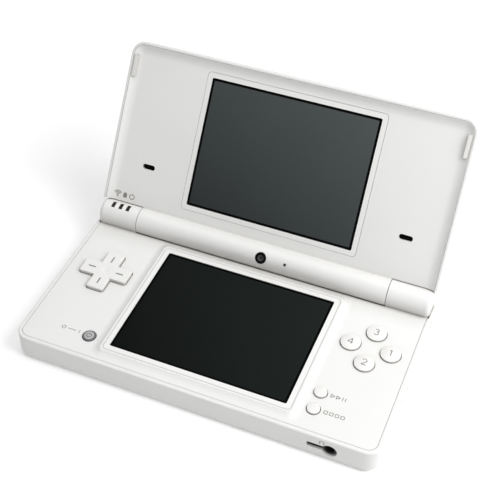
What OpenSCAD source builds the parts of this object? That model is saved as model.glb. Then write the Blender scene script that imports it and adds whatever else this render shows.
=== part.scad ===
// Clamshell handheld game console: a base and a lid on one hinge across the back.
// The origin is the centre of the underside. X runs to the right, Y to the hinge and Z up.
// Lid parts are drawn closed over the base, then swung open about the hinge axis.

/* [Body] */
// Width of the base
body_w = 137; // [132:0.5:146]
// Depth of the base from front to back
body_d = 74.9; // [73.5:0.1:80]
// Height of the button deck above the underside
base_h = 11; // [10.8:0.1:12]
// Side wall thickness of the lower case
wall = 1.5; // [1.2:0.1:1.8]
// Floor thickness of the lower case
floor_t = 1.5; // [1.3:0.1:1.6]
// Corner radius of base and lid seen from above
corner_r = 5; // [4:0.25:6]
// Rounding of the lower edge of the base
bottom_r = 2.5; // [1.5:0.1:3]
// Rounding of the upper edge of the base
deck_edge_r = 0.6; // [0.2:0.1:0.9]
// Deck thickness of the top cover
deck_t = 1.4; // [1.2:0.1:1.6]
// Height of the raised panel round the lower screen
panel_h = 1.1; // [0.8:0.1:1.3]
// Width of the slope that leads up to the raised panel
panel_slope = 3.4; // [2:0.1:4.5]
// Parting gap between fixed casings
seam = 0.12; // [0.08:0.02:0.2]
// Gap round parts that move
run_gap = 0.25; // [0.15:0.05:0.35]

/* [Lid] */
// Distance of the lid's sides from the sides of the base
lid_inset = 0.4; // [0:0.1:1.5]
// Height of the closed console
closed_h = 18.9; // [18.6:0.1:20]
// Gap between the closed lid rim and the deck
lid_gap = 0.3; // [0.2:0.05:0.5]
// Gap between the back of the lid and the end barrels
lid_clear = 0.25; // [0.2:0.05:0.4]
// Gap between the closed lid face and the raised panel
face_gap = 0.5; // [0.4:0.05:0.8]
// Wall thickness of the outer lid cover
lid_wall = 1.1; // [1:0.1:1.6]
// Thickness of the inner lid cover
lid_plate = 1.3; // [1.1:0.1:1.5]
// Rounding of the lid's outer edge
lid_edge_r = 2.5; // [1.5:0.1:3]
// Width of the scooped slope inside the lid rim
rim_slope = 3.8; // [2.4:0.1:4.2]
// Opening angle of the lid as shown
open_angle = 124; // [0:1:150]

/* [Hinge] */
// Radius of the hinge barrels
barrel_r = 5.3; // [5:0.05:5.5]
// Distance of the hinge axis from the back of the base
hinge_back = 5.55; // [5.4:0.05:6]
// Distance of the seams between the barrels from the side of the base
barrel_from = 17.5; // [16.5:0.5:20]
// Gap between the middle barrel and each end barrel
barrel_seam = 0.2; // [0.15:0.05:0.4]
// Gap round the middle barrel in its trough
trough_gap = 0.4; // [0.3:0.05:0.5]
// Distance of the base barrels' outer ends from the side of the base
barrel_inset = 1.1; // [0.9:0.1:3]
// Wall thickness of the barrels
barrel_wall = 1.3; // [1.1:0.1:1.5]
// Radius of the hinge pins
pin_r = 2.2; // [1.8:0.1:2.4]
// Running clearance of the hinge pins
pin_gap = 0.05; // [0.02:0.01:0.08]

/* [Screens] */
// Width of each window
window_w = 67.2; // [62:0.2:68]
// Height of each window
window_h = 50.2; // [46:0.2:50.6]
// Width of the white border round each window
window_border = 2.1; // [1.5:0.1:2.2]
// Y of the lower window's centre
lower_y = -4.2; // [-4.6:0.1:-4]
// Distance of the upper window's centre from the hinge axis
upper_dist = 36.4; // [35.8:0.1:36.8]
// Depth of the touch panel below its frame
touch_sink = 0.25; // [0.1:0.05:0.5]
// Thickness of the touch panel
touch_t = 1.3; // [1:0.1:1.4]
// Thickness of the upper lens
lens_t = 0.9; // [0.7:0.1:1.1]
// Thickness of each display
lcd_t = 2.3; // [1.8:0.1:2.5]

/* [Controls] */
// Length of the direction pad from tip to tip
dpad_span = 19.4; // [17:0.2:20]
// Width of each arm of the direction pad
dpad_arm = 6.8; // [6:0.1:7.5]
// Height of the direction pad above the deck
dpad_rise = 1.4; // [1:0.05:1.45]
// Distance of the direction pad's centre from the left side
dpad_from = 16.6; // [15.5:0.1:18]
// Y of the direction pad's centre
dpad_y = 3; // [0:0.5:6]
// Diameter of the four face buttons
face_d = 7.3; // [6.6:0.1:7.8]
// Height of the face buttons above the deck
face_rise = 1.2; // [0.8:0.05:1.4]
// Distance of each face button from the middle of the four
face_spread = 7.4; // [7:0.1:8]
// Distance of the middle of the four face buttons from the right side
face_from = 16.2; // [15.5:0.1:18]
// Y of the middle of the four face buttons
face_y = 5.5; // [3:0.5:7]
// Travel of the face buttons
face_travel = 0.7; // [0.4:0.05:0.8]
// Diameter of the two small buttons on the right
small_d = 4.6; // [4:0.1:5]
// Height of the two small buttons above the deck
small_rise = 0.8; // [0.5:0.05:1.2]
// Distance of the two small buttons from the right side
small_from = 26; // [25.5:0.5:27]
// Distance of the lower small button from the front
small_front = 10.45; // [9.5:0.05:12]
// Distance between the two small buttons
small_step = 7.4; // [6.5:0.1:9]
// Diameter of the power button
power_d = 4.8; // [4:0.1:5.2]
// Height of the power button above the deck
power_rise = 0.6; // [0.4:0.05:1]
// Distance of the power button from the left side
power_from = 25.8; // [25:0.1:27]
// Distance of the power button from the front
power_front = 9.95; // [9:0.05:12]
// Travel of the small buttons
small_travel = 0.5; // [0.3:0.05:0.7]
// Gap round each round button
key_gap = 0.25; // [0.15:0.05:0.35]
// Length of the volume rocker
volume_l = 14; // [11:0.5:16]
// Height of the volume rocker
volume_h = 3; // [2.4:0.1:3.4]
// Distance of the volume rocker's centre from the back
volume_back = 38.45; // [34:0.05:43]
// Length of each shoulder button along the back
shoulder_l = 21.5; // [19:0.5:23]
// Length of each shoulder button along the side
shoulder_side = 8; // [7.5:0.25:8.5]
// Height of each shoulder button
shoulder_h = 5.3; // [4.5:0.1:5.4]

/* [Sockets] */
// Width of the game card slot
card_w = 34; // [33:0.5:35]
// Height of the game card slot
card_h = 4.4; // [4.3:0.05:4.5]
// Depth of the game card slot
card_depth = 33; // [28:0.5:35]
// Radius of the headphone bore
jack_r = 1.8; // [1.7:0.05:1.9]
// Distance of the headphone bore from the right side
jack_from = 16.5; // [14.5:0.5:18.5]
// Z of the headphone bore
jack_z = 5.8; // [5.5:0.1:6]
// Depth of the headphone bore
jack_depth = 12; // [9:0.5:13]
// Length of the memory card slot
sd_l = 24.4; // [24:0.2:25]
// Height of the memory card slot
sd_h = 2.4; // [2.2:0.1:2.6]
// Distance of the memory card slot's centre from the back
sd_back = 26.95; // [25:0.05:28.5]
// Width of the charging socket
charge_w = 8; // [7:0.5:9]
// Distance of the charging socket from the right side
charge_from = 38.5; // [35.5:0.5:40.5]
// Radius of the stylus
stylus_r = 2.05; // [1.8:0.05:2.1]
// Gap between the stylus sleeve and the battery bay
stylus_gap = 0.9; // [0.5:0.1:8]
// Distance of the stylus from the front
stylus_front = 27.95; // [23.5:0.05:28.5]

/* [Inside] */
// Length of the battery pack from front to back
battery_l = 42; // [38:0.5:43]
// Thickness of the battery pack
battery_t = 4.9; // [4:0.1:4.9]
// Distance of the battery pack from the left side
battery_side = 8.5; // [8:0.1:10]
// Distance between the battery pack and the game card socket
battery_gap = 3.8; // [3.5:0.1:6]
// Distance of the battery's centre from the front
battery_front = 29.95; // [29.5:0.05:31]
// Thickness of the battery cover
battery_lid_t = 0.85; // [0.7:0.05:0.95]
// Thickness of the main board
board_t = 0.8; // [0.6:0.1:0.8]
// Height of the main board's underside
board_z = 6.5; // [6.5:0.05:6.6]
// Radius of the case screws' shanks
screw_r = 0.85; // [0.7:0.05:0.95]
// Radius of the speaker cones
speaker_r = 5.5; // [4.5:0.25:6]
// Distance of the speakers from the sides of the base
speaker_from = 16.4; // [14.5:0.1:17.5]
// Length and width of the speaker slots
speaker_slot = [5.3, 2];
// X of the inner camera
camera_x = 1.5; // [-4:0.5:4]
// Radius of the inner camera's lens
camera_r = 2.2; // [1.6:0.05:2.3]
// Distance of the microphone from the inner camera
mic_step = 9.7; // [8:0.1:12]
// Radius of the microphone's hole
mic_r = 0.6; // [0.4:0.05:0.8]

/* [Hidden] */
$fn = 48;
eps = 0.01;
// longer than any piece, for cuts that go right through
far = 60;
deg_dpad = 3;

front_y = -body_d / 2;
back_y = body_d / 2;
side_x = body_w / 2;
lid_w = body_w - 2 * lid_inset;
barrel_half = side_x - barrel_from;
dpad_at = [-side_x + dpad_from, dpad_y];
face_at = [side_x - face_from, face_y];
select_at = [side_x - small_from, front_y + small_front];
start_at = [select_at[0], select_at[1] + small_step];
power_at = [-side_x + power_from, front_y + power_front];
volume_y = back_y - volume_back;
sd_y = back_y - sd_back;
stylus_y = front_y + stylus_front;
jack_x = side_x - jack_from;
charge_x = side_x - charge_from;
speaker_x = side_x - speaker_from;
hinge_y = back_y - hinge_back;
hinge_z = closed_h - barrel_r - 0.1;
in_x = side_x - wall;
in_y = back_y - wall;
in_r = corner_r - wall;
deck_under = base_h - deck_t;
panel_z = base_h + panel_h;
barrel_end = side_x - barrel_inset;
trough_r = barrel_r + trough_gap;
trough_skin = 0.8;
base_barrel_x = barrel_half + barrel_seam / 2;
skin_x = base_barrel_x + 0.9;
panel_rim = 0.8;
panel_r = 1.6;
lid_barrel_x = barrel_half - barrel_seam / 2;
lip_z = hinge_z - 4.5;
barrel_cut_z = hinge_z - 4.6;
frame_w = window_w + 2 * window_border;
frame_h = window_h + 2 * window_border;
lcd_w = window_w + 1.6;
lcd_h = window_h + 1.6;
lcd_top = panel_z - touch_sink - touch_t - 0.05;
board_top = board_z + board_t;

face_z = base_h + panel_h + face_gap;
rim_z = base_h + lid_gap;
dish = face_z - rim_z;
lid_front = front_y + lid_inset;
lid_back = hinge_y - barrel_r - lid_clear;
lid_in_x = lid_w / 2 - lid_wall;
lid_r = corner_r + 0.3;
lid_in_r = lid_r - lid_wall;
lid_l = lid_back - lid_front;
// the inner face's own corner radius, and the flat width of the rim round it
dish_r = 0.2;
rim_flat = 0.1;
upper_y = hinge_y - upper_dist;
speaker_y = upper_y + 14.9;
lid_top_in = closed_h - lid_wall;
// bumpers: width, length and thickness, and how far they stand out of the rim
bump = [1.5, 8.6, 1.25];
bump_out = 0.18;
bump_y = lid_front + 9.75;
bump_x = lid_in_x - seam - 0.5 - bump[0] / 2;
bump_deep_z = rim_z - bump_out + bump[2];
lid_screw_l = 4.2;
outer_cam = [side_x - 14.5, front_y + 10.1];

face_dirs = [[1, 0], [0, -1], [0, 1], [-1, 0]];
face_flange_r = face_d / 2 + 0.8;
face_base_z = board_top + 0.5 + face_travel + 0.1;
small_flange = 0.7;
small_base_z = deck_under - 1.3;
dpad_flange_r = dpad_span / 2 + 0.8;
// fall of the flange's edge when the pad is tilted about both axes at once
dpad_tip = dpad_flange_r * sin(deg_dpad) * sqrt(2);
dpad_roof = deck_under + 0.4;
dpad_top_z = dpad_roof - dpad_tip - 0.05;
dpad_low_z = board_top + 0.3 + dpad_tip + 0.05;
dimple_r = 15;
dimple_h = 0.12;

shoulder_z = 3;
shoulder_t = 1.6;
shoulder_x = side_x - shoulder_l;
shoulder_pin = [shoulder_x + 2.4, back_y - 3.1];
shoulder_pin_r = 0.9;
shoulder_lug_h = hinge_z - trough_r - trough_skin - 0.3 - shoulder_z;
shoulder_swing = 0.85;
volume_z = 6;
volume_pin = [-in_x + 1.6, volume_y];
volume_pin_r = 0.6;
sd_z = 4.5;
sd_door_h = 3.6;
sd_door_l = sd_l + 1.4;
sd_pin_r = 0.7;
sd_pin = [side_x - sd_pin_r - 0.1, sd_y + sd_door_l / 2 - sd_pin_r];
sd_depth = 28;
card_z = 2;
card_wall = 0.4;
card_box = [card_w + 2.4, card_depth - wall + 0.8, card_h + 2 * card_wall];
// X, Y from the lower window's centre, width, depth and height of what stands on the main board
board_chips = [[-8, -15.5, 16, 14, 0.7], [12, -8, 6, 8, 0.5], [12, -18, 6, 8, 0.5],
    [-30, -14, 3, 8, 0.7], [22, 2, 3, 12, 0.7]];
radio_board = [22, 14, 0.8];
radio_can = [14, 10, 1.6];
stylus_z = 4;
sleeve_r = stylus_r + 0.4;
sleeve_end = 0.6;
charge_h = 2.8;
charge_z = 4.2;
jack_block = [8.4, 5.6];
// flat slot beside the bore: its reach to the left, below the bore's axis and above it
jack_slot = [8, 0.9, 1.4];
jack_face_y = front_y + 0.8;
jack_back_y = front_y + wall + 1.1 + jack_depth;
// left end and width of the block round the flat slot beside the bore, and how far in it goes
slot_block = [-8.2, 6];
slot_back_y = front_y + wall + 7.1;
strap_x = -in_x + 22;
strap_z = 5;
strap_r = 1;
strap_step = 3.6;

// the battery lies between the left side and the game card socket, and the stylus ends at its bay
battery = [side_x - battery_side - card_box[0] / 2 - battery_gap, battery_l, battery_t];
battery_at = [-side_x + battery_side + battery[0] / 2, front_y + battery_front];
bay_w = battery[0] + 0.6;
bay_d = battery[1] + 0.6;
bay_wall = 0.7;
stylus_l = side_x - battery_at[0] - bay_w / 2 - bay_wall - stylus_gap - sleeve_end;
door_w = bay_w + 3;
door_d = bay_d + 6;
door_screws = [-bay_d / 2 - 1.5, bay_d / 2 + 1.5];
door_screw_r = 0.65;
door_boss_h = 1.8;
screw_front_y = front_y + 4.7;
screw_rear_y = lower_y + frame_h / 2 + 1.9;
screw_at = [[-side_x + corner_r, screw_front_y], [0, screw_front_y], [side_x - corner_r, screw_front_y],
    [-30, screw_rear_y], [30, screw_rear_y], [-in_x + 3, 21]];
screw_head_r = screw_r + 0.9;
screw_well_z = 1.3;
screw_top_z = 8.4;
boss_split_z = 4.2;
led_at = [-side_x + 6.1, -side_x + 9.3, -side_x + 12.4];
led_tilt = 7.5;
// width and length of each light
led = [1.3, 2.6];
ribbon_x = -base_barrel_x - 5;
ribbon_z = hinge_z - barrel_r - 0.6;

casing = "#ECEBE8";
trim = "#F4F4F2";
dark = "#1C1F1E";
steel = "#B9BCBE";
greenboard = "#2E6B4A";
softgrey = "#8E9090";

// A rectangle with round corners, centred
module plan(w, d, r) {
    square([w - 2 * r, d], center = true);
    square([w, d - 2 * r], center = true);
    for (x = [-1, 1], y = [-1, 1]) translate([x * (w / 2 - r), y * (d / 2 - r)]) circle(r);
}

module block(w, d, h, r, z = 0) {
    translate([0, 0, z]) linear_extrude(h) plan(w, d, r);
}

// Edge outline from a corner's centre outwards, rounded below by rb and above by rt
module edge_profile(r, h, rb, rt) {
    translate([0, rb]) square([r, h - rb - rt]);
    square([r - rb, rb]);
    translate([0, h - rt]) square([r - rt, rt]);
    translate([r - rb, rb]) quarter(rb, -2);
    translate([r - rt, h - rt]) quarter(rt, 0);
}

// A quarter of a disc, to the right of its centre
module quarter(r, side) {
    intersection() {
        circle(r);
        translate([0, side * r]) square(2 * r);
    }
}

// A scooped slope that falls by h over the width s, steepest at its top and level at its foot
module slope_profile(s, h) {
    steps = 12;
    polygon([[0, 0], for (i = [0:steps]) [s * i / steps, h * pow(1 - i / steps, 2)]]);
}

// Sweeps an edge outline, given as a child, round a rectangle with corner radius r
module round_sweep(w, d, r) {
    for (m = [0, 1]) mirror([m, 0, 0]) {
        translate([w / 2 - r, 0, 0]) rotate([90, 0, 0]) linear_extrude(d - 2 * r, center = true) children();
        for (n = [0, 1]) mirror([0, n, 0])
            translate([w / 2 - r, d / 2 - r, 0]) rotate_extrude(angle = 90) children();
    }
    for (n = [0, 1]) mirror([0, n, 0])
        translate([0, d / 2 - r, 0]) rotate([90, 0, 90]) linear_extrude(w - 2 * r, center = true) children();
}

module round_box(w, d, h, r) {
    translate([0, 0, h / 2]) cube([w - 2 * r, d - 2 * r, h], center = true);
    round_sweep(w, d, r) children();
}

// A round button: flange below, shaft through the deck and a crowned cap with a soft edge
module push_cap(d, flange_r, z0, flange_h, z1) {
    soft = 0.45;
    crown = 12;
    translate([0, 0, z0]) cylinder(r = flange_r, h = flange_h);
    intersection() {
        translate([0, 0, z0]) rotate_extrude() {
            square([d / 2, z1 - z0 - soft]);
            square([d / 2 - soft, z1 - z0]);
            translate([d / 2 - soft, z1 - z0 - soft]) circle(soft);
        }
        translate([0, 0, z1 - crown]) sphere(crown, $fn = 96);
    }
}

// A cylinder along X
module rod(r, x0, x1) {
    translate([x0, 0, 0]) rotate([0, 90, 0]) cylinder(r = r, h = x1 - x0);
}

// Moves a child drawn round the origin onto the hinge axis
module on_axis() {
    translate([0, hinge_y, hinge_z]) children();
}

// Swings a lid part from closed to open
module lid_open() {
    on_axis() rotate([-open_angle, 0, 0]) translate([0, -hinge_y, -hinge_z]) children();
}

// A straight slot with round ends along X
module pill(l, w, h) {
    linear_extrude(h) plan(l, w, w / 2 - eps);
}

module base_shape(grow = 0) {
    round_box(body_w + 2 * grow, body_d + 2 * grow, base_h, corner_r + grow)
        edge_profile(corner_r + grow, base_h, bottom_r, deck_edge_r);
}

// The corner of the case that each shoulder button takes, with a margin all round
module shoulder_zone(m, back) {
    translate([shoulder_x - m, back_y - shoulder_side - back, shoulder_z - m])
        cube([shoulder_l + m + 5, shoulder_side + back + 5, shoulder_h + 2 * m]);
}

module lower_case() color(casing) {
    difference() {
        base_shape();
        block(2 * in_x, 2 * in_y, base_h, in_r, floor_t);
        // hinge: trough in the middle and seats for the end barrels
        on_axis() rod(trough_r, -base_barrel_x, base_barrel_x);
        on_axis() rod(barrel_r + seam, -barrel_end - seam, barrel_end + seam);
        translate([-base_barrel_x, in_y - 1, lip_z]) cube([2 * base_barrel_x, wall + 2, base_h]);
        // openings in the back wall
        translate([-card_w / 2, in_y - 1, card_z]) cube([card_w, wall + 2, card_h]);
        translate([charge_x - charge_w / 2, in_y - 1, charge_z - charge_h / 2])
            cube([charge_w, wall + 2, charge_h]);
        for (x = [0, strap_step]) translate([strap_x + x, back_y + 1, strap_z]) rotate([90, 0, 0])
            cylinder(r = strap_r, h = wall + 2);
        // headphone opening: a round hole and a flat slot beside it
        translate([jack_x, front_y - 1, jack_z]) rotate([-90, 0, 0]) cylinder(r = 2.7, h = wall + 2);
        translate([jack_x - jack_slot[0], front_y - 1, jack_z - jack_slot[1]])
            cube([jack_slot[0], wall + 2, jack_slot[1] + jack_slot[2]]);
        // right side: memory card door and stylus
        translate([in_x - 1, sd_y - sd_door_l / 2 - 0.15, sd_z - sd_door_h / 2 - 0.1])
            cube([wall + 2, sd_door_l + 0.15 - sd_pin_r, sd_door_h + 0.2]);
        translate([sd_pin[0], sd_pin[1], sd_z - sd_door_h / 2 - 0.1])
            cylinder(r = sd_pin_r + 0.12, h = sd_door_h + 0.2);
        translate([sd_pin[0], sd_pin[1] - sd_pin_r - 0.12, sd_z - sd_door_h / 2 - 0.1])
            cube([wall, 2 * sd_pin_r + 0.24, sd_door_h + 0.2]);
        translate([0, stylus_y, stylus_z]) rod(stylus_r + 0.2, in_x - 1, side_x + 1);
        // left side: volume rocker
        translate([-side_x - 1, volume_y - volume_l / 2 - run_gap, volume_z - volume_h / 2 - run_gap])
            cube([wall + 2, volume_l + 2 * run_gap, volume_h + 2 * run_gap]);
        // shoulder corners
        for (m = [0, 1]) mirror([m, 0, 0]) shoulder_zone(0.25, shoulder_swing);
        // battery door recess and bay
        translate([battery_at[0], battery_at[1], 0]) {
            block(door_w + 2 * seam, door_d + 2 * seam, battery_lid_t + 0.05 + 1, 2, -1);
            block(bay_w, bay_d, 4, 1, 0);
            for (p = door_screws) translate([0, p, 0]) cylinder(r = door_screw_r + 0.02, h = floor_t + 0.6);
        }
        for (p = screw_at) translate([p[0], p[1], -1]) {
            cylinder(r = screw_head_r + 0.15, h = screw_well_z + 1);
            cylinder(r = screw_r + 0.15, h = 6);
        }
    }
    difference() {
        for (p = screw_at) translate([p[0], p[1], floor_t - eps])
            cylinder(r = screw_head_r + 0.4, h = boss_split_z - floor_t);
        for (p = screw_at) translate([p[0], p[1], 0]) cylinder(r = screw_r + 0.15, h = 6);
    }
    // bay walls round the battery
    translate([battery_at[0], battery_at[1], 0]) difference() {
        block(bay_w + 2 * bay_wall, bay_d + 2 * bay_wall, 4.6, 1.7, floor_t - eps);
        block(bay_w, bay_d, 6, 1, 0);
    }
    for (p = door_screws) translate([battery_at[0], battery_at[1] + p, floor_t - eps]) difference() {
        cylinder(r = 1.4, h = door_boss_h);
        translate([0, 0, -1]) cylinder(r = door_screw_r + 0.02, h = door_boss_h + 0.6);
    }
    for (m = [0, 1]) mirror([m, 0, 0])
        translate([shoulder_pin[0], shoulder_pin[1], floor_t - eps])
            cylinder(r = shoulder_pin_r, h = shoulder_z + shoulder_lug_h - floor_t - 0.2);
    // post of the volume rocker
    translate([volume_pin[0], volume_pin[1], floor_t - eps])
        cylinder(r = volume_pin_r, h = volume_z + volume_h / 2 - floor_t - 0.4);
}

module dpad_plan(gap) {
    for (a = [0, 90]) rotate(a) plan(dpad_span + 2 * gap, dpad_arm + 2 * gap, 0.8 + gap);
}

// Raised panel round the lower screen, with a scooped slope down to the deck on all four sides
module panel_shape() {
    w = frame_w + 2 * panel_rim;
    d = frame_h + 2 * panel_rim;
    translate([0, lower_y, base_h - eps]) round_box(w, d, panel_h + eps, panel_r) {
        square([panel_r, panel_h + eps]);
        translate([panel_r - eps, eps]) slope_profile(panel_slope, panel_h);
    }
}

// Fixed barrel at one end of the hinge, with its closed outer end rounded
module end_barrel() {
    soft = 1.6;
    on_axis() rotate([0, 90, 0]) translate([0, 0, base_barrel_x]) rotate_extrude() {
        l = barrel_end - base_barrel_x;
        square([barrel_r, l - soft]);
        square([barrel_r - soft, l]);
        translate([barrel_r - soft, l - soft]) circle(soft);
    }
}

module base_top_cover() color(casing) {
    difference() {
        union() {
            block(2 * (in_x - seam), 2 * (in_y - seam), deck_t, in_r - seam, deck_under);
            panel_shape();
            for (m = [0, 1]) mirror([m, 0, 0]) end_barrel();
            intersection() {
                on_axis() rod(trough_r + trough_skin, -skin_x, skin_x);
                translate([-skin_x, 0, 0]) cube([2 * skin_x, in_y - seam, base_h - eps]);
            }
            for (p = screw_at) translate([p[0], p[1], boss_split_z + 0.05])
                cylinder(r = screw_head_r + 0.2, h = deck_under + 0.2 - boss_split_z);
        }
        on_axis() rod(trough_r, -base_barrel_x, base_barrel_x);
        translate([-base_barrel_x, hinge_y, lip_z]) cube([2 * base_barrel_x, 10, 20]);
        // the end barrels are flat underneath, where they pass over the shoulder buttons
        for (m = [0, 1]) mirror([m, 0, 0]) translate([skin_x, hinge_y - 12, -1])
            cube([30, 30, barrel_cut_z + 1]);
        // barrels: hollow on the left for the light guide, bored on the right for the clutch
        on_axis() rod(barrel_r - barrel_wall, base_barrel_x + 1.5, barrel_end - 1.6);
        on_axis() rod(pin_r + pin_gap, base_barrel_x - 1, base_barrel_x + 2);
        on_axis() rod(barrel_r - barrel_wall, -barrel_end + 1.6, -base_barrel_x - 3);
        on_axis() rod(pin_r + pin_gap, -base_barrel_x - 4, -base_barrel_x + 1);
        on_axis() translate([ribbon_x - 1, -1.6, -barrel_r - 2]) cube([2, 3.2, barrel_r + 2]);
        on_axis() rotate([led_tilt, 0, 0]) for (x = led_at)
            translate([x - led[0] / 2 - 0.1, -led[1] / 2 - 0.1, barrel_r - barrel_wall - 1])
                cube([led[0] + 0.2, led[1] + 0.2, 4]);
        // window and buttons
        translate([0, lower_y, 0]) block(frame_w, frame_h, 20, 1.5, deck_under - 1);
        translate([dpad_at[0], dpad_at[1], 0]) {
            translate([0, 0, deck_under - 1]) linear_extrude(10) dpad_plan(0.3);
            translate([0, 0, deck_under - 1])
                cylinder(r = dpad_flange_r + 0.4, h = dpad_roof - deck_under + 1);
        }
        for (p = face_dirs) translate([face_at[0] + p[0] * face_spread, face_at[1] + p[1] * face_spread, 0])
            cylinder(r = face_d / 2 + key_gap, h = far);
        for (p = [start_at, select_at]) translate([p[0], p[1], 0])
            cylinder(r = small_d / 2 + key_gap, h = far);
        translate([power_at[0], power_at[1], 0]) cylinder(r = power_d / 2 + key_gap, h = far);
        for (p = screw_at) translate([p[0], p[1], 0]) cylinder(r = screw_r + 0.02, h = screw_top_z + 0.2);
    }
}

module touch_frame() color(trim) {
    translate([0, lower_y, 0]) difference() {
        block(frame_w - 2 * seam, frame_h - 2 * seam, panel_z - lcd_top - 0.1, 1.5 - seam, lcd_top + 0.1);
        block(window_w, window_h, 20, 0.6, 0);
    }
}

module touch_panel() color(dark) {
    translate([0, lower_y, 0])
        block(window_w - 0.1, window_h - 0.1, touch_t, 0.5, panel_z - touch_sink - touch_t);
}

module lower_display() color("#2A2D2D") {
    // the panel, and the pad under it that stands on the main board
    pad = [24, 6, lcd_top - lcd_t - board_top - 0.02 + eps];
    translate([0, lower_y, 0]) block(lcd_w, lcd_h, lcd_t, 0.8, lcd_top - lcd_t);
    translate([-pad[0] / 2, lower_y - lcd_h / 2 + 2, board_top + 0.02]) cube(pad);
}

module main_board() color(greenboard) {
    y0 = front_y + 6.2;
    y1 = hinge_y - trough_r - 1.4;
    difference() {
        translate([-in_x + 2.6, y0, board_z]) cube([2 * in_x - 5.2, y1 - y0, board_t]);
        for (p = screw_at) translate([p[0], p[1], 0]) cylinder(r = screw_head_r + 0.7, h = far);
        translate([volume_pin[0] - 2, volume_y - volume_l / 2 - 1, 0]) cube([4.4, volume_l + 2, far]);
        // cut-outs that the card socket and the headphone socket stand in
        translate([-card_box[0] / 2 - 0.2, in_y - card_box[1] - 0.3, 0]) cube([card_box[0] + 0.4, far, far]);
        translate([jack_x - jack_block[0] / 2 - 0.2, y0 - 1, 0])
            cube([jack_block[0] + 0.4, jack_back_y - y0 + 1.2, far]);
        translate([jack_x + slot_block[0] - 0.2, y0 - 1, 0])
            cube([slot_block[1], slot_back_y - y0 + 1.2, far]);
    }
    // processor under its shield, two memory chips and the connectors of the battery and the display
    for (c = board_chips) translate([c[0], lower_y + c[1], board_top - eps]) cube([c[2], c[3], c[4] + eps]);
}

module battery_pack() color("#4A4D50") {
    translate([battery_at[0], battery_at[1], 0])
        round_box_at(battery[0], battery[1], battery[2], 1.2, battery_lid_t + 0.15);
}

module round_box_at(w, d, h, r, z) {
    translate([0, 0, z]) round_box(w, d, h, r) edge_profile(r, h, 0.6, 0.6);
}

module battery_cover() color(casing) {
    translate([battery_at[0], battery_at[1], 0]) difference() {
        block(door_w, door_d, battery_lid_t, 2 - seam, 0);
        for (p = door_screws) translate([0, p, -1]) {
            cylinder(r = door_screw_r + 0.1, h = 4);
            cylinder(r = 1.28, h = 1.47);
        }
        for (i = [-2:2]) translate([i * 2.4, -door_d / 2 + 6, -1]) linear_extrude(1.3) plan(1, 4, 0.45);
    }
}

// A small countersunk-style screw standing on its head, with a cross recess
module screw(head_r, head_h, shank_r, l) {
    difference() {
        cylinder(r = head_r, h = head_h);
        for (a = [0, 90]) rotate(a) translate([-head_r * 0.6, -0.15, -1]) cube([head_r * 1.2, 0.3, 1.4]);
    }
    cylinder(r = shank_r, h = l);
}

module battery_cover_screws() color(steel) {
    for (p = door_screws) translate([battery_at[0], battery_at[1] + p, 0.05])
        screw(1.2, 0.4, door_screw_r, floor_t + 0.3);
}

module case_screws() color(steel) {
    for (p = screw_at) translate([p[0], p[1], 0.35]) screw(screw_head_r, 0.9, screw_r, screw_top_z - 0.4);
}

module led_light_guide() color("#5E6263") {
    on_axis() rotate([led_tilt, 0, 0]) {
        translate([led_at[0] - 0.9, -1.1, 2.7]) cube([led_at[2] - led_at[0] + 1.8, 2.2, 0.7]);
        intersection() {
            for (x = led_at) translate([x - led[0] / 2, -led[1] / 2, 2.8]) cube([led[0], led[1], 4]);
            rod(barrel_r - 0.12, -barrel_end, -base_barrel_x);
        }
    }
}

module game_card_socket() color(steel) {
    y1 = in_y - 0.1;
    d = card_depth - wall;
    difference() {
        translate([-card_box[0] / 2, y1 - card_box[1], card_z - card_wall]) cube(card_box);
        translate([-card_w / 2, y1 - d, card_z]) cube([card_w, d + 1, card_h]);
    }
    for (i = [-8:8]) translate([i * 1.7 - 0.3, y1 - d - eps, card_z + 0.3 - eps]) cube([0.6, 4, 0.25]);
}

module memory_card_socket() color(steel) {
    x1 = side_x - 2 * sd_pin_r - 0.4;
    difference() {
        translate([x1 - sd_depth, sd_y - sd_l / 2 - 0.8, sd_z - sd_h / 2 - 0.4])
            cube([sd_depth, sd_l + 1.6, sd_h + 0.8]);
        translate([x1 - sd_depth + 1.5, sd_y - sd_l / 2, sd_z - sd_h / 2]) cube([sd_depth, sd_l, sd_h]);
        translate([sd_pin[0] - 2 * sd_pin_r, sd_pin[1] - 2 * sd_pin_r, 0]) cube([4, 4, far]);
    }
}

module memory_card_door() color(casing) {
    t = 2 * sd_pin_r;
    z0 = sd_z - sd_door_h / 2;
    translate([sd_pin[0], sd_pin[1], z0]) cylinder(r = sd_pin_r, h = sd_door_h);
    difference() {
        translate([sd_pin[0] - sd_pin_r, sd_y - sd_door_l / 2, z0])
            cube([t, sd_pin[1] - sd_y + sd_door_l / 2, sd_door_h]);
        // notch for a fingernail
        translate([side_x - 0.5, sd_y - sd_door_l / 2 + 1, z0 - 1]) cylinder(r = 0.9, h = sd_door_h + 2);
    }
}

module headphone_socket() color("#2B2C2C") {
    y0 = jack_face_y;
    in_front = front_y + wall + 0.1;
    difference() {
        union() {
            translate([jack_x - jack_block[0] / 2, in_front, jack_z - jack_block[1] / 2])
                cube([jack_block[0], jack_back_y - in_front, jack_block[1]]);
            translate([jack_x, y0, jack_z]) rotate([-90, 0, 0]) cylinder(r = 2.55, h = 2);
            translate([jack_x + slot_block[0], in_front, jack_z - 1.1])
                cube([slot_block[1], slot_back_y - in_front, 2.6]);
            // nose that fills the flat part of the opening
            translate([jack_x - jack_slot[0] + 0.15, y0, jack_z - jack_slot[1] + 0.15])
                cube([jack_slot[0] - 1, in_front - y0 + eps, jack_slot[1] + jack_slot[2] - 0.3]);
        }
        translate([jack_x, y0 - 1, jack_z]) rotate([-90, 0, 0]) cylinder(r = jack_r, h = jack_depth + 1);
        translate([jack_x - 7.4, front_y, jack_z - 0.45]) cube([4.3, 6, 1.3]);
    }
}

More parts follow.
